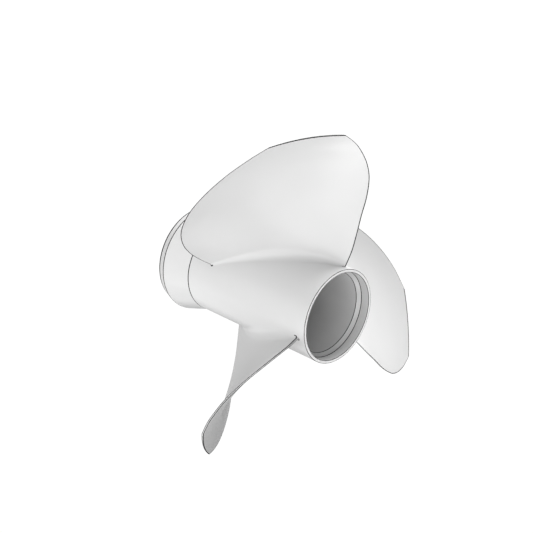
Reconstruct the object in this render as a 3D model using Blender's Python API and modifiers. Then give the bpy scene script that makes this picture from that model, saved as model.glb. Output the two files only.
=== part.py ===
# Three-blade boat propeller with the exhaust led out through its hub, built up from a barrel,
# a flared forward collar, three blades, an inner hub held by three webs, a rubber drive bushing
# and a splined sleeve.
# Metres. +X points aft along the shaft line and +Z is up. The origin is on the shaft line, in
# the plane of the sleeve's forward end, where the shaft's thrust washer bears.
import math

import bmesh
import bpy

# Clearance between pieces that touch
SEAT_GAP = 0.0003

# Barrel, the outer tube of the hub
BARREL_DIAMETER = 0.108
BARREL_WALL = 0.00765
COUNTERBORE_WALL = 0.0035
COUNTERBORE_DEPTH = 0.0105
HUB_LENGTH = 0.2272
THRUST_FACE_RECESS = 0.012
SPIGOT_STEP = 0.004
SPIGOT_LENGTH = 0.014
TURNED_SEGMENTS = 72

# Flared forward collar. Its ridge and its face stand out from the barrel by their heights.
COLLAR_LENGTH = 0.0438
COLLAR_RIDGE_HEIGHT = 0.0101
COLLAR_FACE_HEIGHT = 0.0065
COLLAR_FACE_WIDTH = 0.0055
COLLAR_LIP_LENGTH = 0.0111
COLLAR_MOUTH_DEPTH = 0.020

# Inner hub, its webs and the drive
INNER_HUB_DIAMETER = 0.066
INNER_HUB_BORE = 0.056
INNER_HUB_SETBACK = 0.003
INNER_HUB_CHAMFER = 0.0015
WEB_THICKNESS = 0.007
WEB_LENGTH = 0.088
WEB_SETBACK = 0.020
BUSHING_SETBACK = 0.004
BUSHING_FACE_DISH = 0.003
SLEEVE_DIAMETER = 0.034
SLEEVE_LENGTH = 0.128
SPLINE_TEETH = 15
SPLINE_MAJOR_DIAMETER = 0.0275
SPLINE_MINOR_DIAMETER = 0.0245
SPLINE_LAND_SHARE = 0.32
INNER_SEGMENTS = 48

# Blades. Edge thicknesses are measured along the shaft. The back bulges forward of the chord, and
# the face is hollowed by a share of that. The root fillet is fullest a little aft of mid-chord.
BLADE_COUNT = 3
TIP_DIAMETER = 0.3937
LEAD_EDGE_THICKNESS = 0.0005
TRAIL_EDGE_THICKNESS = 0.0025
ROOT_BACK_RISE = 0.0075
BACK_RISE_POWER = 1.3
FACE_HOLLOW_SHARE = 0.45
ROOT_FILLET = 0.011
END_FILLET = 0.0025
FILLET_TOE = 0.0003
FILLET_SKEW_POWER = 1.4
CHORD_STEPS = 16
FILLET_STEPS = 4
SPAN_STEPS = 18
ROOT_STRIPS = 10

# Outline of a blade, from its root to its tip: the share of the blade's height, then the leading
# edge's angle about the shaft and its distance forward of the aft rim, then the trailing edge's.
BLADE_OUTLINE = (
    (0.00, 59.2, 0.1520, -20.5, 0.0082),
    (0.12, 58.2, 0.1540, -20.6, 0.0054),
    (0.25, 56.5, 0.1535, -20.3, 0.0046),
    (0.40, 53.3, 0.1493, -19.8, 0.0043),
    (0.55, 48.4, 0.1398, -19.6, 0.0035),
    (0.70, 41.7, 0.1223, -18.3, 0.0042),
    (0.80, 34.8, 0.1049, -16.3, 0.0070),
    (0.88, 27.9, 0.0878, -13.7, 0.0106),
    (0.94, 21.6, 0.0729, -11.2, 0.0144),
    (1.00, 14.3, 0.0570, -7.4, 0.0195),
)

# Places along the shaft
FORWARD_FACE = -THRUST_FACE_RECESS
AFT_RIM = FORWARD_FACE + HUB_LENGTH
COLLAR_JOINT = FORWARD_FACE + COLLAR_LENGTH
COUNTERBORE_END = AFT_RIM - COUNTERBORE_DEPTH
INNER_HUB_START = INNER_HUB_SETBACK
INNER_HUB_END = SLEEVE_LENGTH - INNER_HUB_SETBACK

# Radii
BARREL_RADIUS = BARREL_DIAMETER / 2
BORE_RADIUS = BARREL_RADIUS - BARREL_WALL
COUNTERBORE_RADIUS = BARREL_RADIUS - COUNTERBORE_WALL
SPIGOT_RADIUS = BARREL_RADIUS - SPIGOT_STEP
INNER_HUB_RADIUS = INNER_HUB_DIAMETER / 2
ROOT_RADIUS = BARREL_RADIUS + SEAT_GAP
TIP_RADIUS = TIP_DIAMETER / 2
WEB_ANGLE = (BLADE_OUTLINE[0][1] + BLADE_OUTLINE[0][3]) / 2


def clear_scene():
    for old in list(bpy.data.objects):
        bpy.data.objects.remove(old, do_unlink=True)


def new_collection(name):
    collection = bpy.data.collections.new(name)
    bpy.context.scene.collection.children.link(collection)
    return collection


def new_material(name, colour, roughness, metallic):
    material = bpy.data.materials.new(name)
    material.use_nodes = True
    shader = material.node_tree.nodes["Principled BSDF"]
    shader.inputs["Base Color"].default_value = (*colour, 1.0)
    shader.inputs["Roughness"].default_value = roughness
    shader.inputs["Metallic"].default_value = metallic
    return material


def satin_white(name):
    return new_material(name, (0.82, 0.82, 0.82), 0.45, 0.0)


def place(name, data, collection, material):
    """Adds an object that carries the given mesh or curve."""
    item = bpy.data.objects.new(name, data)
    item.data.materials.clear()
    item.data.materials.append(material)
    collection.objects.link(item)
    return item


def turned(name, profile, segments, collection, material):
    """Turns a closed profile of (place along the shaft, radius) about the shaft line."""
    mesh = bpy.data.meshes.new(name)
    points = [(radius, 0.0, along) for along, radius in profile]
    edges = [(i, (i + 1) % len(points)) for i in range(len(points))]
    mesh.from_pydata(points, edges, [])
    item = place(name, mesh, collection, material)
    item.rotation_euler = (0.0, math.pi / 2, 0.0)
    screw = item.modifiers.new("turn", "SCREW")
    screw.angle = 2 * math.pi
    screw.steps = segments
    screw.render_steps = segments
    screw.use_merge_vertices = True
    screw.merge_threshold = 0.00001
    return item


def make_barrel(collection):
    # The outer side runs from the aft rim forward to the spigot, the inner side back again,
    # through the bore, its 45 degree step and the counterbore.
    step = COUNTERBORE_RADIUS - BORE_RADIUS
    spigot_end = COLLAR_JOINT - SPIGOT_LENGTH
    profile = (
        (AFT_RIM, BARREL_RADIUS),
        (COLLAR_JOINT, BARREL_RADIUS),
        (COLLAR_JOINT, SPIGOT_RADIUS),
        (spigot_end, SPIGOT_RADIUS),
        (spigot_end, BORE_RADIUS),
        (COUNTERBORE_END - step, BORE_RADIUS),
        (COUNTERBORE_END, COUNTERBORE_RADIUS),
        (AFT_RIM, COUNTERBORE_RADIUS),
    )
    return turned("barrel", profile, TURNED_SEGMENTS, collection, satin_white("barrel_finish"))


def make_collar(collection):
    # The collar's socket slides over the barrel's spigot, and its outside flares to a ridge
    # and then draws in to the forward face.
    seat = COLLAR_JOINT - SEAT_GAP
    face = BARREL_RADIUS + COLLAR_FACE_HEIGHT
    socket = SPIGOT_RADIUS + SEAT_GAP
    socket_end = COLLAR_JOINT - SPIGOT_LENGTH - SEAT_GAP
    profile = (
        (seat, BARREL_RADIUS),
        (FORWARD_FACE + COLLAR_LIP_LENGTH, BARREL_RADIUS + COLLAR_RIDGE_HEIGHT),
        (FORWARD_FACE, face),
        (FORWARD_FACE, face - COLLAR_FACE_WIDTH),
        (FORWARD_FACE + COLLAR_MOUTH_DEPTH, BORE_RADIUS),
        (socket_end, BORE_RADIUS),
        (socket_end, socket),
        (seat, socket),
    )
    return turned("flared_collar", profile, TURNED_SEGMENTS, collection,
                  satin_white("collar_finish"))


def make_inner_hub(collection):
    outer = INNER_HUB_RADIUS
    inner = INNER_HUB_BORE / 2
    cut = INNER_HUB_CHAMFER
    profile = (
        (INNER_HUB_END, outer - cut),
        (INNER_HUB_END - cut, outer),
        (INNER_HUB_START + cut, outer),
        (INNER_HUB_START, outer - cut),
        (INNER_HUB_START, inner),
        (INNER_HUB_END, inner),
    )
    return turned("inner_hub", profile, INNER_SEGMENTS, collection, satin_white("hub_finish"))


def make_bushing(collection):
    # Rubber is bonded between the sleeve and the inner hub, and its end faces are dished.
    outer = INNER_HUB_BORE / 2 - SEAT_GAP
    inner = SLEEVE_DIAMETER / 2 + SEAT_GAP
    middle = (outer + inner) / 2
    forward = INNER_HUB_START + BUSHING_SETBACK
    aft = INNER_HUB_END - BUSHING_SETBACK
    profile = (
        (aft, outer),
        (forward, outer),
        (forward + BUSHING_FACE_DISH, middle),
        (forward, inner),
        (aft, inner),
        (aft - BUSHING_FACE_DISH, middle),
    )
    rubber = new_material("drive_rubber", (0.03, 0.03, 0.03), 0.7, 0.0)
    return turned("drive_bushing", profile, INNER_SEGMENTS, collection, rubber)


def ring_points(radius, count):
    return [(radius * math.cos(2 * math.pi * i / count), radius * math.sin(2 * math.pi * i / count))
            for i in range(count)]


def spline_points():
    """The splined bore's outline: each tooth has a flat crest, two flanks and a root."""
    pitch = 2 * math.pi / SPLINE_TEETH
    crest = SPLINE_MINOR_DIAMETER / 2
    root = SPLINE_MAJOR_DIAMETER / 2
    half = 1 / 2
    corners = (
        (0, crest),
        (SPLINE_LAND_SHARE, crest),
        (half, root),
        (half + SPLINE_LAND_SHARE, root),
    )
    points = []
    for tooth in range(SPLINE_TEETH):
        for share, radius in corners:
            angle = (tooth + share) * pitch
            points.append((radius * math.cos(angle), radius * math.sin(angle)))
    return points


def make_sleeve(collection):
    outline = bpy.data.curves.new("drive_sleeve", "CURVE")
    outline.dimensions = "2D"
    outline.fill_mode = "BOTH"
    outline.extrude = SLEEVE_LENGTH / 2
    for points in (ring_points(SLEEVE_DIAMETER / 2, INNER_SEGMENTS), spline_points()):
        spline = outline.splines.new("POLY")
        spline.points.add(len(points) - 1)
        for point, (x, y) in zip(spline.points, points):
            point.co = (x, y, 0.0, 1.0)
        spline.use_cyclic_u = True
    steel = new_material("sleeve_steel", (0.55, 0.55, 0.56), 0.3, 1.0)
    item = place("drive_sleeve", outline, collection, steel)
    item.location = (SLEEVE_LENGTH / 2, 0.0, 0.0)
    item.rotation_euler = (0.0, math.pi / 2, 0.0)
    return item


def cylinder_cutter(name, radius, collection):
    """A round cutter on the shaft line, longer than the hub at both ends."""
    mesh = bpy.data.meshes.new(name)
    shape = bmesh.new()
    bmesh.ops.create_cone(shape, cap_ends=True, segments=TURNED_SEGMENTS, radius1=radius,
                          radius2=radius, depth=2 * HUB_LENGTH)
    shape.to_mesh(mesh)
    shape.free()
    item = bpy.data.objects.new(name, mesh)
    item.location = (HUB_LENGTH / 2, 0.0, 0.0)
    item.rotation_euler = (0.0, math.pi / 2, 0.0)
    item.hide_render = True
    item.display_type = "WIRE"
    collection.objects.link(item)
    return item


def make_web(number, hub_cutter, bore_cutter, collection):
    # A flat web stands on the inner hub and reaches the barrel's bore; both ends are cut to
    # the curve that they seat on.
    name = f"web_{number + 1}"
    mesh = bpy.data.meshes.new(name)
    shape = bmesh.new()
    bmesh.ops.create_cube(shape, size=1.0)
    bmesh.ops.scale(shape, vec=(WEB_LENGTH, WEB_THICKNESS, BARREL_RADIUS), verts=shape.verts)
    shape.to_mesh(mesh)
    shape.free()
    item = place(name, mesh, collection, satin_white(f"{name}_finish"))
    turn = math.radians(WEB_ANGLE - number * 360 / BLADE_COUNT)
    middle = BARREL_RADIUS / 2 + INNER_HUB_RADIUS / 2
    item.location = (INNER_HUB_START + WEB_SETBACK + WEB_LENGTH / 2,
                     -middle * math.sin(turn), middle * math.cos(turn))
    item.rotation_euler = (turn, 0.0, 0.0)
    inner_end = item.modifiers.new("inner_end", "BOOLEAN")
    inner_end.operation = "DIFFERENCE"
    inner_end.object = hub_cutter
    outer_end = item.modifiers.new("outer_end", "BOOLEAN")
    outer_end.operation = "INTERSECT"
    outer_end.object = bore_cutter
    return item


def outline_at(share, column):
    """A smooth curve through one column of the blade's outline."""
    shares = [row[0] for row in BLADE_OUTLINE]
    values = [row[column] for row in BLADE_OUTLINE]
    last = len(shares) - 1
    i = max(k for k in range(last) if shares[k] <= share or k == 0)
    slopes = []
    for k in (i, i + 1):
        before = max(k - 1, 0)
        after = min(k + 1, last)
        slopes.append((values[after] - values[before]) / (shares[after] - shares[before]))
    width = shares[i + 1] - shares[i]
    u = (share - shares[i]) / width
    return (values[i] * (2 * u ** 3 - 3 * u ** 2 + 1) + values[i + 1] * (3 * u ** 2 - 2 * u ** 3)
            + width * slopes[0] * (u ** 3 - 2 * u ** 2 + u) + width * slopes[1] * (u ** 3 - u ** 2))


def blade_point(radius, chord_share, offset):
    """A point beside the chord of a blade's section, which runs from the leading edge at chord
    share 0 to the trailing edge at 1. The offset is towards the aft side."""
    share = min(max((radius - ROOT_RADIUS) / (TIP_RADIUS - ROOT_RADIUS), 0.0), 1.0)
    lead_angle = math.radians(outline_at(share, 1))
    trail_angle = math.radians(outline_at(share, 3))
    lead_x = AFT_RIM - outline_at(share, 2)
    trail_x = AFT_RIM - outline_at(share, 4)
    round_part = radius * (lead_angle - trail_angle)
    length_part = trail_x - lead_x
    chord = math.hypot(round_part, length_part)
    angle = lead_angle + (trail_angle - lead_angle) * chord_share
    along = lead_x + (trail_x - lead_x) * chord_share
    angle += offset * length_part / chord / radius
    along += offset * round_part / chord
    return angle, along


def on_shaft(radius, angle, along):
    return (along, -radius * math.sin(angle), radius * math.cos(angle))


def back_rise(radius, chord_share):
    share = (radius - ROOT_RADIUS) / (TIP_RADIUS - ROOT_RADIUS)
    middle = ROOT_BACK_RISE * (1 - share ** BACK_RISE_POWER)
    return middle * 4 * chord_share * (1 - chord_share)


def face_point(radius, chord_share, flare):
    hollow = FACE_HOLLOW_SHARE * back_rise(radius, chord_share)
    return blade_point(radius, chord_share, flare - hollow)


def back_point(radius, chord_share, flare):
    edge = LEAD_EDGE_THICKNESS + (TRAIL_EDGE_THICKNESS - LEAD_EDGE_THICKNESS) * chord_share
    angle, along = blade_point(radius, chord_share, -back_rise(radius, chord_share) - flare)
    return angle, along - edge


def blade_rows(chord_share):
    """Radius and fillet width of each row of points at one place along the chord, from the
    root up: the toe, the fillet's quarter round, and then the plain blade to its tip."""
    skewed_share = chord_share ** FILLET_SKEW_POWER
    fullness = 4 * skewed_share * (1 - skewed_share)
    fillet = END_FILLET + (ROOT_FILLET - END_FILLET) * fullness
    rows = [(ROOT_RADIUS, fillet)]
    for step in range(FILLET_STEPS + 1):
        turn = math.pi / 2 * step / FILLET_STEPS
        rows.append((ROOT_RADIUS + FILLET_TOE + fillet * (1 - math.cos(turn)),
                     fillet * (1 - math.sin(turn))))
    top = rows[-1][0]
    for step in range(1, SPAN_STEPS + 1):
        rows.append((top + (TIP_RADIUS - top) * step / SPAN_STEPS, 0.0))
    return rows


def blade_mesh(name):
    """Lofts a blade from its root to its tip, and closes it along the barrel and at the tip."""
    shape = bmesh.new()
    face_side = []
    back_side = []
    root_strips = []
    for step in range(CHORD_STEPS + 1):
        chord_share = step / CHORD_STEPS
        face_column = []
        back_column = []
        for radius, flare in blade_rows(chord_share):
            face = face_point(radius, chord_share, flare)
            back = back_point(radius, chord_share, flare)
            face_column.append(shape.verts.new(on_shaft(radius, *face)))
            back_column.append(shape.verts.new(on_shaft(radius, *back)))
            if radius == ROOT_RADIUS:
                strip = []
                for cross in range(1, ROOT_STRIPS):
                    part = cross / ROOT_STRIPS
                    angle = face[0] + (back[0] - face[0]) * part
                    along = face[1] + (back[1] - face[1]) * part
                    strip.append(shape.verts.new(on_shaft(ROOT_RADIUS, angle, along)))
        face_side.append(face_column)
        back_side.append(back_column)
        root_strips.append([face_column[0], *strip, back_column[0]])
    rows = len(face_side[0])
    for step in range(CHORD_STEPS):
        for row in range(rows - 1):
            for side in (face_side, back_side):
                shape.faces.new((side[step][row], side[step][row + 1],
                                 side[step + 1][row + 1], side[step + 1][row]))
        for cross in range(ROOT_STRIPS):
            shape.faces.new((root_strips[step][cross], root_strips[step][cross + 1],
                             root_strips[step + 1][cross + 1], root_strips[step + 1][cross]))
        shape.faces.new((face_side[step][-1], back_side[step][-1],
                         back_side[step + 1][-1], face_side[step + 1][-1]))
    for end in (0, CHORD_STEPS):
        shape.faces.new((*root_strips[end], back_side[end][1], face_side[end][1]))
        for row in range(1, rows - 1):
            shape.faces.new((face_side[end][row], face_side[end][row + 1],
                             back_side[end][row + 1], back_side[end][row]))
    bmesh.ops.recalc_face_normals(shape, faces=shape.faces)
    mesh = bpy.data.meshes.new(name)
    shape.to_mesh(mesh)
    shape.free()
    return mesh


def make_blades(collection):
    for number in range(BLADE_COUNT):
        name = f"blade_{number + 1}"
        item = place(name, blade_mesh(name), collection, satin_white(f"{name}_finish"))
        item.rotation_euler = (-2 * math.pi * number / BLADE_COUNT, 0.0, 0.0)


def main():
    clear_scene()
    parts = new_collection("boat_propeller")
    cutters = new_collection("cutters")
    make_barrel(parts)
    make_collar(parts)
    make_blades(parts)
    make_inner_hub(parts)
    hub_cutter = cylinder_cutter("hub_cutter", INNER_HUB_RADIUS + SEAT_GAP, cutters)
    bore_cutter = cylinder_cutter("bore_cutter", BORE_RADIUS - SEAT_GAP, cutters)
    for number in range(BLADE_COUNT):
        make_web(number, hub_cutter, bore_cutter, parts)
    make_bushing(parts)
    make_sleeve(parts)


main()
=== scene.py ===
# The looks of a three-blade boat propeller with through-hub exhaust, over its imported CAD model.
# The sections follow the propeller as it is put together: barrel, collar, blades, inner hub,
# webs, rubber bushing and splined sleeve. The floor, the light and the camera come last.
import math

import bpy
import numpy as np
from mathutils import Matrix, Vector


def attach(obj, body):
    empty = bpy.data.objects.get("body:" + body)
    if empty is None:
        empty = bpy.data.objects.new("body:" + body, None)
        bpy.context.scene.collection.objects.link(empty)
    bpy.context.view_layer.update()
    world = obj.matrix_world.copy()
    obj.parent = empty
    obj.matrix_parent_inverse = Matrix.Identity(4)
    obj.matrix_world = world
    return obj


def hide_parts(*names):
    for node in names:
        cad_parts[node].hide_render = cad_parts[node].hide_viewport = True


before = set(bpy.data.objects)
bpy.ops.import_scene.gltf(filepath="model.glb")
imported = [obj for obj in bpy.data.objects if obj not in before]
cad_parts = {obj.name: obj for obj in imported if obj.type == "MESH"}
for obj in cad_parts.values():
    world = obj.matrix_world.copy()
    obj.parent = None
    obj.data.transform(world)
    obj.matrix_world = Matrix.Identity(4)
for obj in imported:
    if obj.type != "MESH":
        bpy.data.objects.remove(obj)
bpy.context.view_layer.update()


# Barrel: the outer tube of the hub, cast in aluminium, turned and painted a satin pale grey.
# Its open aft end is counterbored, with a 45 degree step down to the bore that has painted
# shade, a darker tone. The collar slides over a spigot at its forward end. Its corners show as
# fine dark lines.
def pick(piece, test):
    """Selects the faces whose middle and normal pass the test, and stays in edit mode."""
    if bpy.context.mode != "OBJECT":
        bpy.ops.object.mode_set(mode="OBJECT")
    bpy.context.view_layer.objects.active = piece
    bpy.ops.object.mode_set(mode="EDIT")
    bpy.ops.mesh.select_mode(type="FACE")
    bpy.ops.mesh.select_all(action="DESELECT")
    bpy.ops.object.mode_set(mode="OBJECT")
    for face in piece.data.polygons:
        face.select = test(face.center, face.normal)
    bpy.ops.object.mode_set(mode="EDIT")


def push(along):
    """Extrudes what is selected along the shaft line."""
    bpy.ops.mesh.extrude_region_move(TRANSFORM_OT_translate={"value": (along, 0.0, 0.0)})


def turned_start(name, radius, forward, aft, sides, end_radius=None):
    """A closed cylinder or cone on the shaft line, ready for the edit mode."""
    bpy.ops.object.select_all(action="DESELECT")
    bpy.ops.mesh.primitive_cone_add(
        vertices=sides, radius1=radius, radius2=radius if end_radius is None else end_radius,
        depth=aft - forward, location=((forward + aft) / 2, 0, 0), rotation=(0, math.pi / 2, 0))
    bpy.ops.object.transform_apply(location=True, rotation=True, scale=True)
    piece = bpy.context.object
    piece.name = name
    return piece


def faces_aft(middle, normal):
    return normal.x > 0.9


def faces_forward(middle, normal):
    return normal.x < -0.9


def is_end(middle, normal):
    return faces_aft(middle, normal) or faces_forward(middle, normal)


def on_axis(middle, normal):
    """The two discs left in the ends' middles, which make way for the bore."""
    slack = 0.0005
    return is_end(middle, normal) and math.hypot(middle.y, middle.z) < slack


def shaded(grey, share):
    """A grey colour at a share of its strength."""
    return (grey * share, grey * share, grey * share, 1.0)


def satin_paint(name, grey, roughness):
    """Sprayed satin paint: a faint mottle in its tone and its sheen, and fine orange peel."""
    tone_spread = 0.02
    sheen_spread = 0.04
    paint = bpy.data.materials.new(name)
    paint.use_nodes = True
    nodes, links = paint.node_tree.nodes, paint.node_tree.links
    shader = nodes["Principled BSDF"]
    place = nodes.new("ShaderNodeTexCoord")
    mottle = nodes.new("ShaderNodeTexNoise")
    mottle.inputs["Scale"].default_value = 22.0
    mottle.inputs["Detail"].default_value = 5.0
    links.new(place.outputs["Object"], mottle.inputs["Vector"])
    tone = nodes.new("ShaderNodeMix")
    tone.data_type = "RGBA"
    tone.inputs["A"].default_value = shaded(grey, 1 - tone_spread)
    tone.inputs["B"].default_value = shaded(grey, 1 + tone_spread)
    links.new(mottle.outputs["Fac"], tone.inputs["Factor"])
    links.new(tone.outputs["Result"], shader.inputs["Base Color"])
    sheen = nodes.new("ShaderNodeMapRange")
    sheen.inputs["To Min"].default_value = roughness - sheen_spread
    sheen.inputs["To Max"].default_value = roughness + sheen_spread
    links.new(mottle.outputs["Fac"], sheen.inputs["Value"])
    links.new(sheen.outputs["Result"], shader.inputs["Roughness"])
    peel = nodes.new("ShaderNodeTexNoise")
    peel.inputs["Scale"].default_value = 900.0
    peel.inputs["Detail"].default_value = 2.0
    links.new(place.outputs["Object"], peel.inputs["Vector"])
    bump = nodes.new("ShaderNodeBump")
    bump.inputs["Strength"].default_value = 0.05
    bump.inputs["Distance"].default_value = 0.0002
    links.new(peel.outputs["Fac"], bump.inputs["Height"])
    links.new(bump.outputs["Normal"], shader.inputs["Normal"])
    shader.inputs["Specular IOR Level"].default_value = 0.8
    return paint


def edge_finish(name, grey):
    """The dark, dull tone of the fine lines along the corners."""
    tone_spread = 0.1
    finish = bpy.data.materials.new(name)
    finish.use_nodes = True
    nodes, links = finish.node_tree.nodes, finish.node_tree.links
    shader = nodes["Principled BSDF"]
    place = nodes.new("ShaderNodeTexCoord")
    grain = nodes.new("ShaderNodeTexNoise")
    grain.inputs["Scale"].default_value = 300.0
    links.new(place.outputs["Object"], grain.inputs["Vector"])
    tone = nodes.new("ShaderNodeMix")
    tone.data_type = "RGBA"
    tone.inputs["A"].default_value = shaded(grey, 1 - tone_spread)
    tone.inputs["B"].default_value = shaded(grey, 1 + tone_spread)
    links.new(grain.outputs["Fac"], tone.inputs["Factor"])
    links.new(tone.outputs["Result"], shader.inputs["Base Color"])
    shader.inputs["Roughness"].default_value = 0.9
    shader.inputs["Specular IOR Level"].default_value = 0.0
    return finish


def line_corners(piece, width, test):
    """Lays the second finish along both sides of the sharp corners that pass the test."""
    bpy.ops.object.mode_set(mode="EDIT")
    bpy.ops.mesh.select_mode(type="EDGE")
    bpy.ops.mesh.select_all(action="DESELECT")
    bpy.ops.mesh.edges_select_sharp(sharpness=math.radians(25))
    bpy.ops.object.mode_set(mode="OBJECT")
    corners = piece.data.vertices
    for edge in piece.data.edges:
        if edge.select:
            start, end = edge.vertices
            edge.select = test((corners[start].co + corners[end].co) / 2)
    bpy.ops.object.mode_set(mode="EDIT")
    bpy.ops.mesh.bevel(offset=width, segments=4, profile=0.85, material=1)
    bpy.ops.object.mode_set(mode="OBJECT")


def dress(piece, *finishes):
    """Turns the faces outwards and gives the piece its finishes."""
    bpy.ops.object.mode_set(mode="EDIT")
    bpy.ops.mesh.select_all(action="SELECT")
    bpy.ops.mesh.normals_make_consistent(inside=False)
    bpy.ops.object.mode_set(mode="OBJECT")
    piece.data.materials.clear()
    for finish in finishes:
        piece.data.materials.append(finish)


barrel_radius = 0.054
bore_radius = 0.04635
counterbore_radius = 0.0505
counterbore_depth = 0.0105
aft_rim = 0.2152
collar_joint = 0.0318
spigot_radius = 0.050
spigot_length = 0.014
turned_sides = 256
corner_line = 0.00045
joint_line = 0.0005
paint_grey = 0.50
# The darker grey is painted shade for the counterbore's step.
painted_shade_grey = 0.37
paint_roughness = 0.35
line_grey = 0.012
hub_paint = satin_paint("hub_satin_paint", paint_grey, paint_roughness)
hub_edge = edge_finish("hub_corner_tone", line_grey)

barrel = turned_start("barrel_shell", barrel_radius, collar_joint, aft_rim, turned_sides)
pick(barrel, faces_aft)
bpy.ops.mesh.inset(thickness=barrel_radius - counterbore_radius)
push(-counterbore_depth)
step = counterbore_radius - bore_radius
bpy.ops.mesh.inset(thickness=step, depth=-step)
pick(barrel, faces_forward)
bpy.ops.mesh.inset(thickness=barrel_radius - spigot_radius)
push(-spigot_length)
bpy.ops.mesh.inset(thickness=spigot_radius - bore_radius)
pick(barrel, on_axis)
bpy.ops.mesh.bridge_edge_loops()
dress(barrel, hub_paint, hub_edge)
line_corners(barrel, corner_line, lambda middle: middle.x > (collar_joint + aft_rim) / 2)
line_corners(barrel, joint_line, lambda middle: abs(middle.x - collar_joint) < joint_line)
# The step down to the bore takes the darker paint, as painted shade.
barrel.data.materials.append(satin_paint("step_painted_shade_paint", painted_shade_grey, paint_roughness))
step_slope = math.cos(math.radians(45))
slope_slack = 0.1
for face in barrel.data.polygons:
    if face.material_index == 0 and abs(face.normal.x - step_slope) < slope_slack:
        face.material_index = 2
bpy.ops.object.shade_smooth_by_angle(angle=math.radians(30))
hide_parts("barrel")
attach(barrel, "root")


# Flared collar: a cast and turned ring that slides over the barrel's spigot. It flares out to a
# ridge, draws in again to its forward face, and its mouth narrows to the bore. The ridge, the
# forward face's rim and the butt joint with the barrel show as dark lines.
collar_face = -0.012
ridge = -0.0009
ridge_radius = 0.0641
face_radius = 0.0605
mouth_radius = 0.055
mouth_depth = 0.020
joint_gap = 0.0003
collar_end = collar_joint - joint_gap
ridge_line = 0.00065
face_line = 0.0024

collar = turned_start("collar_ring", ridge_radius, ridge, collar_end, turned_sides, barrel_radius)
pick(collar, faces_forward)
line_radius = face_radius + (ridge_radius - face_radius) * face_line / (ridge - collar_face)
for reach, start, end in ((collar_face + face_line - ridge, ridge_radius, line_radius),
                          (-face_line, line_radius, face_radius)):
    push(reach)
    narrow = end / start
    bpy.ops.transform.resize(value=(1, narrow, narrow))
bpy.ops.mesh.inset(thickness=face_radius - mouth_radius)
push(mouth_depth)
narrow = bore_radius / mouth_radius
bpy.ops.transform.resize(value=(1, narrow, narrow))
pick(collar, faces_aft)
bpy.ops.mesh.inset(thickness=barrel_radius - spigot_radius - joint_gap)
push(-spigot_length)
bpy.ops.mesh.inset(thickness=spigot_radius + joint_gap - bore_radius)
pick(collar, on_axis)
bpy.ops.mesh.bridge_edge_loops()
dress(collar, hub_paint, hub_edge)
line_corners(collar, ridge_line, lambda middle: abs(middle.x - ridge) < ridge_line)
line_corners(collar, corner_line, lambda middle: middle.x < ridge - ridge_line)
# The dark rim takes the outward faces only, not those of the mouth.
outward_reach = 0.04
for face in collar.data.polygons:
    outwards = face.normal.y * face.center.y + face.normal.z * face.center.z
    if face.center.x < collar_face + face_line and outwards > outward_reach:
        face.material_index = 1
line_corners(collar, joint_line, lambda middle: abs(middle.x - collar_end) < joint_line)
bpy.ops.object.shade_smooth_by_angle(angle=math.radians(30))
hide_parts("flared_collar")
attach(collar, "root")


# Blades: cast one by one, ground along their edges, welded to the barrel and blended into it
# with a smooth fillet. Each is a loft of cambered sections between a thin leading edge and a
# blunt trailing edge, which no primitive gives, so its skin is laid out point by point.
blade_spacing = 120
tip_radius = 0.19683
root_radius = 0.0543
lead_thickness = 0.0005
trail_thickness = 0.0025
back_rise = 0.0075
rise_fade_power = 1.3
hollow_share = 0.45
end_fillet = 0.0025
root_fillet = 0.011
fillet_skew_power = 1.4
# Widths of the dark lines beside the leading edge, the trailing edge and the tip, and of the two
# on the thin rim between face and back. The leading one narrows towards the root, and each of the
# rim's takes less than half of it.
lead_line = 0.0014
trail_line = 0.0010
tip_line = 0.0010
rim_line = 0.00075
narrowest_lead = 0.45
lead_growth = 1.4
lead_offset = 0.2
widest_rim_share = 0.45
# Height share, then the leading edge's angle and distance forward of the aft rim, then the
# trailing edge's, as fitted to the photograph's edges.
outline = np.array([
    (0.00, 59.2, 0.1520, -20.5, 0.0082),
    (0.12, 58.2, 0.1540, -20.6, 0.0054),
    (0.25, 56.5, 0.1535, -20.3, 0.0046),
    (0.40, 53.3, 0.1493, -19.8, 0.0043),
    (0.55, 48.4, 0.1398, -19.6, 0.0035),
    (0.70, 41.7, 0.1223, -18.3, 0.0042),
    (0.80, 34.8, 0.1049, -16.3, 0.0070),
    (0.88, 27.9, 0.0878, -13.7, 0.0106),
    (0.94, 21.6, 0.0729, -11.2, 0.0144),
    (1.00, 14.3, 0.0570, -7.4, 0.0195),
])


def along_outline(share, column):
    """A smooth curve through one column of the outline."""
    known, value = outline[:, 0], outline[:, column]
    last = len(known) - 1
    before = np.maximum(np.arange(last + 1) - 1, 0)
    after = np.minimum(np.arange(last + 1) + 1, last)
    slope = (value[after] - value[before]) / (known[after] - known[before])
    i = np.clip(np.searchsorted(known, share, "right") - 1, 0, last - 1)
    width = known[i + 1] - known[i]
    u = (share - known[i]) / width
    return (value[i] * (2 * u ** 3 - 3 * u ** 2 + 1) + value[i + 1] * (3 * u ** 2 - 2 * u ** 3)
            + width * slope[i] * (u ** 3 - 2 * u ** 2 + u)
            + width * slope[i + 1] * (u ** 3 - u ** 2))


def section_ends(radius):
    """The section's height share, then the turn and the place along the shaft of its two edges."""
    share = np.clip((radius - root_radius) / (tip_radius - root_radius), 0.0, 1.0)
    return (share, np.radians(along_outline(share, 1)), aft_rim - along_outline(share, 2),
            np.radians(along_outline(share, 3)), aft_rim - along_outline(share, 4))


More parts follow.
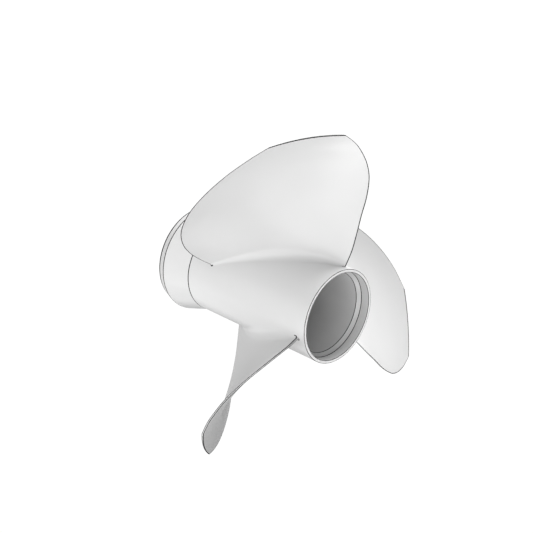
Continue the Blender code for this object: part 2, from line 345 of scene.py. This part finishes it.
def skin_points(radius, chord_share, flare, side):
    """Points of the skin. Side 1 is the aft face and side -1 the forward back."""
    share, lead_turn, lead_x, trail_turn, trail_x = section_ends(radius)
    round_part = radius * (lead_turn - trail_turn)
    length_part = trail_x - lead_x
    chord = np.hypot(round_part, length_part)
    bulge = back_rise * (1 - share ** rise_fade_power) * 4 * chord_share * (1 - chord_share)
    offset = flare - hollow_share * bulge if side > 0 else -bulge - flare
    turn = lead_turn + (trail_turn - lead_turn) * chord_share
    turn = turn + offset * length_part / chord / radius
    x = lead_x + (trail_x - lead_x) * chord_share + offset * round_part / chord
    if side < 0:
        x = x - lead_thickness - (trail_thickness - lead_thickness) * chord_share
    return np.stack([x, -radius * np.sin(turn), radius * np.cos(turn)], axis=-1)


# The skin's columns from edge to edge and its rows from root to tip, and how many of the rows the
# dark spot at each end of the weld takes.
chord_columns = 73
fillet_rows = 13
span_rows = 76
lead_weld_rows = 5
trail_weld_rows = 3
inner = np.linspace(0.0, 1.0, chord_columns - 2)
even = np.concatenate([[0.0], inner, [1.0]])
skewed = even ** fillet_skew_power
fullness = 4 * skewed * (1 - skewed)
fillet = end_fillet + (root_fillet - end_fillet) * fullness
quarter = np.linspace(0.0, math.pi / 2, fillet_rows)[:, None]
# The fillet's toe starts a hair below the barrel's skin, so that no gap shows.
sunk = 0.000004
radius = [barrel_radius - sunk + fillet * (1 - np.cos(quarter))]
flare = [fillet * (1 - np.sin(quarter))]
top = radius[0][-1:]
climb = np.linspace(0.0, 1.0, span_rows + 1)[1:, None]
radius.append(top + (tip_radius - tip_line - top) * climb)
flare.append(np.zeros((span_rows + 1, chord_columns)))
radius.append(np.full((1, chord_columns), tip_radius))
radius, flare = np.concatenate(radius), np.concatenate(flare)
row_count = len(radius)
share, lead_turn, lead_x, trail_turn, trail_x = section_ends(radius[:, :1])
row_chord = np.hypot(radius[:, :1] * (lead_turn - trail_turn), trail_x - lead_x)
lead_taper = np.clip(lead_growth * share - lead_offset, narrowest_lead, 1.0)
lead_share = lead_line * lead_taper / row_chord
trail_share = trail_line / row_chord
plain_share = 1 - lead_share - trail_share
lead_end, trail_end = np.zeros_like(plain_share), np.ones_like(plain_share)
chord_share = np.concatenate([lead_end, lead_share + plain_share * inner, trail_end], axis=1)
skins = [skin_points(radius, chord_share, flare, side).reshape(-1, 3) for side in (1, -1)]
points = [tuple(point) for point in np.concatenate(skins)]


def face_at(row, column):
    return row * chord_columns + column


def back_at(row, column):
    return (row_count + row) * chord_columns + column


def across(start, end):
    """Two more points between a face point and a back point, a fine line in from each."""
    gap = Vector(points[end]) - Vector(points[start])
    inset = min(rim_line / gap.length, widest_rim_share)
    points.append(tuple(Vector(points[start]) + gap * inset))
    points.append(tuple(Vector(points[end]) - gap * inset))
    return [start, len(points) - 2, len(points) - 1, end]


last_row, last_column = row_count - 1, chord_columns - 1
lead_rim = [across(face_at(row, 0), back_at(row, 0)) for row in range(row_count)]
trail_rim = [across(face_at(row, last_column), back_at(row, last_column))
             for row in range(row_count)]
tip_rim = [across(face_at(last_row, column), back_at(last_row, column))
           for column in range(1, last_column)]
tip_rim = [lead_rim[-1], *tip_rim, trail_rim[-1]]
faces, tones = [], []
for row in range(last_row):
    for column in range(last_column):
        edge = column in (0, last_column - 1) or row == last_row - 1
        lead_weld = column == 1 and row < lead_weld_rows
        trail_weld = column == last_column - 2 and row < trail_weld_rows
        dark = edge or lead_weld or trail_weld
        for at in (face_at, back_at):
            faces.append((at(row, column), at(row + 1, column),
                          at(row + 1, column + 1), at(row, column + 1)))
            tones.append(int(dark))
for strip in (lead_rim, trail_rim, tip_rim):
    for near, far in zip(strip[:-1], strip[1:]):
        for k in range(3):
            faces.append((near[k], near[k + 1], far[k + 1], far[k]))
            tones.append(int(k != 1))
for column in range(1, last_column - 1):
    faces.append((face_at(0, column), back_at(0, column),
                  back_at(0, column + 1), face_at(0, column + 1)))
    tones.append(0)
faces.append((*lead_rim[0], back_at(0, 1), face_at(0, 1)))
faces.append((*trail_rim[0], back_at(0, last_column - 1), face_at(0, last_column - 1)))
tones += [0, 0]

blade_paint = satin_paint("blade_satin_paint", paint_grey, paint_roughness)
blade_edge = edge_finish("blade_corner_tone", line_grey)
skin = bpy.data.meshes.new("blade_skin_1")
skin.from_pydata(points, [], faces)
skin.polygons.foreach_set("material_index", tones)
blade = bpy.data.objects.new("blade_skin_1", skin)
bpy.context.scene.collection.objects.link(blade)
skin.materials.append(blade_paint)
skin.materials.append(blade_edge)
bpy.ops.object.select_all(action="DESELECT")
blade.select_set(True)
bpy.context.view_layer.objects.active = blade
bpy.ops.object.mode_set(mode="EDIT")
bpy.ops.mesh.select_all(action="SELECT")
bpy.ops.mesh.normals_make_consistent(inside=False)
bpy.ops.object.mode_set(mode="OBJECT")
bpy.ops.object.shade_smooth_by_angle(angle=math.radians(30))
blades = [blade]
for number in (1, 2):
    copy = bpy.data.objects.new(f"blade_skin_{number + 1}", skin.copy())
    copy.data.transform(Matrix.Rotation(math.radians(-blade_spacing * number), 4, "X"))
    bpy.context.scene.collection.objects.link(copy)
    blades.append(copy)
for number, blade in enumerate(blades):
    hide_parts(f"blade_{number + 1}")
    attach(blade, "root")


# Inner hub: the thick tube that carries the drive, cast in one pour with its webs and machined
# at both ends.
inner_radius = 0.033
inner_bore = 0.028
inner_start = 0.003
inner_end = 0.125
end_chamfer = 0.0012
hidden_sides = 128
inner_hub = turned_start("inner_hub_tube", inner_radius, inner_start, inner_end, hidden_sides)
pick(inner_hub, is_end)
bpy.ops.mesh.inset(thickness=end_chamfer, depth=end_chamfer)
inner_length = inner_end - inner_start
bpy.ops.transform.resize(value=(inner_length / (inner_length + 2 * end_chamfer), 1, 1))
bpy.ops.mesh.inset(thickness=inner_radius - end_chamfer - inner_bore)
pick(inner_hub, on_axis)
bpy.ops.mesh.bridge_edge_loops()
dress(inner_hub, hub_paint)
bpy.ops.object.shade_smooth_by_angle(angle=math.radians(30))
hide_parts("inner_hub")
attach(inner_hub, "root")


# Webs: three cast plates between the inner hub and the barrel, swelling into both of them, with
# the exhaust passing between.
web_turn = 19.35
web_start = 0.023
web_length = 0.088
web_thickness = 0.007
web_sunk = 0.0004
web_swell = 0.9
foot, crown = inner_radius - web_sunk, bore_radius + web_sunk
web_middle = (web_start + web_length / 2, 0, (foot + crown) / 2)
bpy.ops.object.select_all(action="DESELECT")
bpy.ops.mesh.primitive_cube_add(size=1, location=web_middle)
web = bpy.context.object
web.name = "web_plate_1"
web.scale = (web_length, web_thickness, crown - foot)
bpy.ops.object.transform_apply(location=True, rotation=True, scale=True)
bpy.ops.object.mode_set(mode="EDIT")
bpy.ops.mesh.select_all(action="SELECT")
bpy.ops.mesh.subdivide(number_cuts=15)
bpy.ops.object.mode_set(mode="OBJECT")
for corner in web.data.vertices:
    reach = corner.co.z
    height = (reach - foot) / (crown - foot)
    corner.co.y *= 1 + web_swell * abs(2 * height - 1) ** 4
    corner.co.z = math.sqrt(reach ** 2 - corner.co.y ** 2)
web.data.materials.append(hub_paint)
bpy.context.view_layer.objects.active = web
nose = web.modifiers.new("cast_corners", "BEVEL")
nose.width = 0.0012
nose.segments = 3
nose.limit_method = "ANGLE"
nose.angle_limit = math.radians(60)
bpy.ops.object.modifier_apply(modifier=nose.name)
bpy.ops.object.shade_smooth_by_angle(angle=math.radians(40))
plates = [web]
for number in (1, 2):
    plate = bpy.data.objects.new(f"web_plate_{number + 1}", web.data.copy())
    bpy.context.scene.collection.objects.link(plate)
    plates.append(plate)
for number, plate in enumerate(plates):
    turn = math.radians(web_turn - blade_spacing * number)
    plate.data.transform(Matrix.Rotation(turn, 4, "X"))
    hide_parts(f"web_{number + 1}")
    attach(plate, "root")


# Drive bushing: black rubber, moulded round the sleeve and pressed into the inner hub. Its end
# faces are dished, and its skin is matte with a faint mottle.
bushing_radius = 0.0277
sleeve_radius = 0.017
bushing_start = 0.007
bushing_end = 0.121
# The rings of each dished end, from the rim in: their widths, and how far they sink or rise.
dish_rings = ((0.0022, -0.0016), (0.0030, -0.0012), (0.0030, 0.0012), (0.0022, 0.0016))
rubber = bpy.data.materials.new("moulded_rubber")
rubber.use_nodes = True
nodes, links = rubber.node_tree.nodes, rubber.node_tree.links
shader = nodes["Principled BSDF"]
place = nodes.new("ShaderNodeTexCoord")
grain = nodes.new("ShaderNodeTexNoise")
grain.inputs["Scale"].default_value = 260.0
grain.inputs["Detail"].default_value = 4.0
links.new(place.outputs["Object"], grain.inputs["Vector"])
tone = nodes.new("ShaderNodeMix")
tone.data_type = "RGBA"
tone.inputs["A"].default_value = (0.022, 0.022, 0.023, 1.0)
tone.inputs["B"].default_value = (0.045, 0.044, 0.043, 1.0)
links.new(grain.outputs["Fac"], tone.inputs["Factor"])
links.new(tone.outputs["Result"], shader.inputs["Base Color"])
dimple = nodes.new("ShaderNodeBump")
dimple.inputs["Strength"].default_value = 0.25
dimple.inputs["Distance"].default_value = 0.0003
links.new(grain.outputs["Fac"], dimple.inputs["Height"])
links.new(dimple.outputs["Normal"], shader.inputs["Normal"])
shader.inputs["Roughness"].default_value = 0.72

bushing = turned_start("bushing_rubber", bushing_radius, bushing_start, bushing_end, hidden_sides)
pick(bushing, is_end)
for ring_width, rise in dish_rings:
    bpy.ops.mesh.inset(thickness=ring_width, depth=rise, use_individual=True)
pick(bushing, on_axis)
bpy.ops.mesh.bridge_edge_loops()
dress(bushing, rubber)
bpy.ops.object.shade_smooth_by_angle(angle=math.radians(40))
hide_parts("drive_bushing")
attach(bushing, "root")


# Splined sleeve: turned steel with fifteen teeth broached in its bore, faced and chamfered at
# both ends. Fine turning marks run round it.
sleeve_length = 0.128
tooth_major = 0.01375
tooth_minor = 0.01225
teeth = 15
# The bore's radius at each of the eight steps from one tooth to the next: the crest, a flank, the
# groove and the other flank.
tooth_middle = (tooth_minor + tooth_major) / 2
tooth_steps = 3 * [tooth_minor] + [tooth_middle] + 3 * [tooth_major] + [tooth_middle]
steel = bpy.data.materials.new("turned_steel")
steel.use_nodes = True
nodes, links = steel.node_tree.nodes, steel.node_tree.links
shader = nodes["Principled BSDF"]
place = nodes.new("ShaderNodeTexCoord")
marks = nodes.new("ShaderNodeTexWave")
marks.bands_direction = "X"
marks.inputs["Scale"].default_value = 900.0
marks.inputs["Distortion"].default_value = 1.5
links.new(place.outputs["Object"], marks.inputs["Vector"])
tone = nodes.new("ShaderNodeMix")
tone.data_type = "RGBA"
tone.inputs["A"].default_value = (0.46, 0.46, 0.47, 1.0)
tone.inputs["B"].default_value = (0.58, 0.58, 0.59, 1.0)
links.new(marks.outputs["Fac"], tone.inputs["Factor"])
links.new(tone.outputs["Result"], shader.inputs["Base Color"])
shader.inputs["Metallic"].default_value = 1.0
shader.inputs["Roughness"].default_value = 0.32

step_count = len(tooth_steps)
sleeve = turned_start("splined_sleeve", sleeve_radius, 0.0, sleeve_length, teeth * step_count)
pick(sleeve, is_end)
bpy.ops.mesh.inset(thickness=sleeve_radius - tooth_major, use_individual=True)
bpy.ops.object.mode_set(mode="OBJECT")
pitch = 2 * math.pi / teeth
for corner in sleeve.data.vertices:
    reach = math.hypot(corner.co.y, corner.co.z)
    if reach < (sleeve_radius + tooth_major) / 2:
        turn = math.atan2(corner.co.z, corner.co.y) % pitch
        grow = tooth_steps[round(turn / pitch * step_count) % step_count] / reach
        corner.co.y *= grow
        corner.co.z *= grow
pick(sleeve, on_axis)
bpy.ops.mesh.bridge_edge_loops()
dress(sleeve, steel)
chamfer = sleeve.modifiers.new("faced_ends", "BEVEL")
chamfer.width = 0.0005
chamfer.segments = 2
chamfer.limit_method = "ANGLE"
chamfer.angle_limit = math.radians(60)
bpy.ops.object.modifier_apply(modifier=chamfer.name)
bpy.ops.object.shade_smooth_by_angle(angle=math.radians(20))
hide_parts("drive_sleeve")
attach(sleeve, "root")


# Floor: a plain white sheet that shines evenly by itself, so no shadow shows on it. It is hidden
# from the propeller's own light, so that it doesn't brighten the undersides.
floor_height = -1.2
bpy.ops.object.select_all(action="DESELECT")
bpy.ops.mesh.primitive_grid_add(x_subdivisions=8, y_subdivisions=8, size=30,
                                location=(0, 0, floor_height))
floor = bpy.context.object
floor.name = "floor"
floor_white = bpy.data.materials.new("floor_white")
floor_white.use_nodes = True
shader = floor_white.node_tree.nodes["Principled BSDF"]
shader.inputs["Base Color"].default_value = (0.0, 0.0, 0.0, 1.0)
shader.inputs["Specular IOR Level"].default_value = 0.0
shader.inputs["Emission Color"].default_value = (1.0, 1.0, 1.0, 1.0)
shader.inputs["Emission Strength"].default_value = 1.04
floor.data.materials.append(floor_white)
floor.visible_diffuse = False
floor.visible_glossy = False
floor.visible_shadow = False


# Studio light: soft suns round the propeller in a dim grey room, fitted to the photograph's
# greys. Each is given as how far it stands to the camera's right, above it and towards it, then
# its strength and its width in degrees.
camera_right = Vector((0.70800, 0.70621, 0.0))
camera_up = Vector((-0.29991, 0.30066, 0.90535))
camera_back = Vector((0.63937, -0.64098, 0.42467))
lamps = {
    "top_lamp": (0.37, 0.92, -0.14, 5.7, 30),
    "front_left_lamp": (-0.63, -0.36, 0.69, 2.6, 100),
    "front_top_lamp": (-0.14, 0.53, 0.84, 1.0, 100),
    "low_right_lamp": (0.60, -0.60, 0.54, 1.0, 30),
    "low_left_lamp": (-0.65, -0.66, -0.36, 0.75, 60),
    "under_lamp": (0.0, -1.0, 0.09, 0.6, 30),
    "front_low_lamp": (0.29, -0.61, 0.74, 0.45, 30),
    "back_left_lamp": (-0.75, 0.26, -0.61, 0.45, 100),
    "rim_lamp": (0.905, -0.384, -0.183, 0.35, 12),
}
for name, (right, up, near, strength, width) in lamps.items():
    lamp = bpy.data.lights.new(name, "SUN")
    lamp.energy = strength
    lamp.angle = math.radians(width)
    stand = bpy.data.objects.new(name, lamp)
    towards = camera_right * right + camera_up * up + camera_back * near
    stand.rotation_euler = towards.to_track_quat("Z", "Y").to_euler()
    bpy.context.scene.collection.objects.link(stand)
world = bpy.data.worlds.new("studio")
bpy.context.scene.world = world
world.use_nodes = True
surround = world.node_tree.nodes["Background"]
surround.inputs["Color"].default_value = (1.0, 1.0, 1.0, 1.0)
surround.inputs["Strength"].default_value = 0.3


# Camera: at the photograph's viewing angle, fitted to its circles and edges.
camera_data = bpy.data.cameras.new("camera")
camera_data.lens = 77.26
camera_data.sensor_width = 36.0
camera = bpy.data.objects.new("camera", camera_data)
bpy.context.scene.collection.objects.link(camera)
camera.location = (0.93476, -0.83141, 0.57452)
camera.rotation_euler = (-camera_back).to_track_quat("-Z", "Y").to_euler()
bpy.context.scene.camera = camera
bpy.context.scene.view_settings.view_transform = "Standard"
